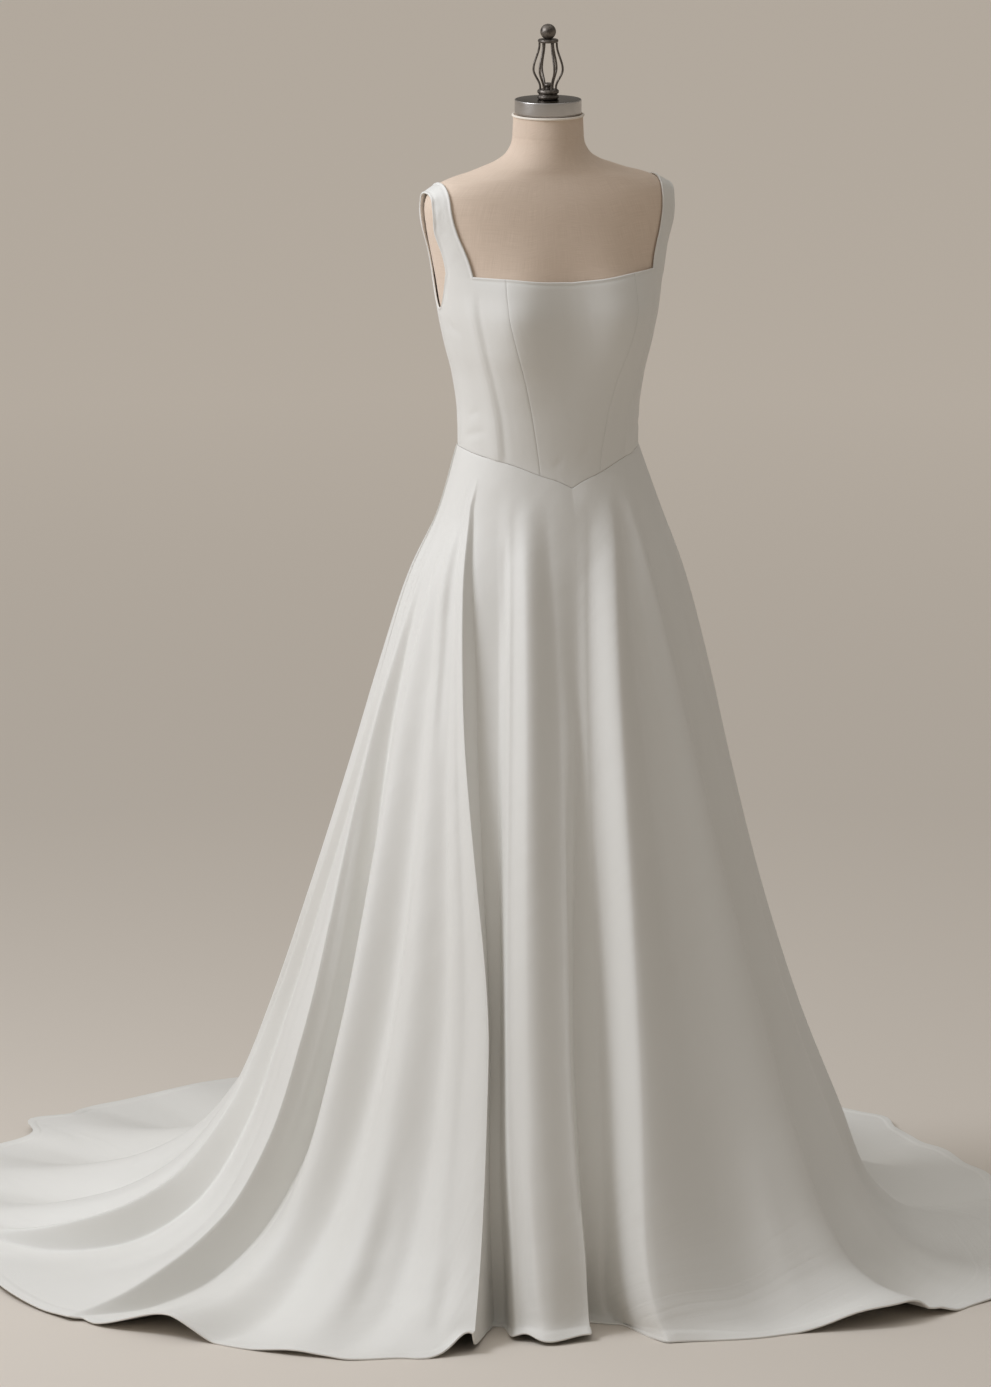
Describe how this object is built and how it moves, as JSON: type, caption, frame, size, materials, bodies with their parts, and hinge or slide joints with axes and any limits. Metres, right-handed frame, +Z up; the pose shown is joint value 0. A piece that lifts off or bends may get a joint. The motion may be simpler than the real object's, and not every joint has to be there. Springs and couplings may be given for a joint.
{
  "type": "wedding dress on a limbless dress form",
  "caption": "Sleeveless satin wedding dress with shoulder straps, fitted bodice, full folded skirt and train, standing on a linen dress form with a metal neck cap and finial.",
  "frame": {"origin": "on the floor, at the centre of the stand's round base plate, under the form's axis", "axes": "+Z up, -Y towards the front of the dress, +X towards the wearer's left"},
  "size_m": [1.4833, 1.6617, 1.669],
  "materials": {
    "satin": "matte ivory satin",
    "linen": "fine beige linen",
    "steel": "brushed",
    "pewter": "aged pewter",
    "stand": "black satin"
  },
  "bodies": {
    "root": {"bodice_centre_front": "satin", "bodice_side_front_left": "satin", "bodice_side_front_right": "satin", "bodice_side_back_left": "satin", "bodice_side_back_right": "satin", "bodice_centre_back_left": "satin", "bodice_centre_back_right": "satin", "skirt_front": "satin", "skirt_back_left": "satin", "skirt_back_right": "satin", "form_torso": "linen", "neck_cap": "steel", "finial_collar": "pewter", "finial_knob": "pewter", "finial_wire_1": "pewter", "finial_wire_2": "pewter", "finial_wire_3": "pewter", "finial_wire_4": "pewter", "finial_wire_5": "pewter", "finial_wire_6": "pewter", "finial_ring": "pewter", "finial_ball": "pewter", "form_pole": "stand", "form_base": "stand"}
  },
  "joints": []
}
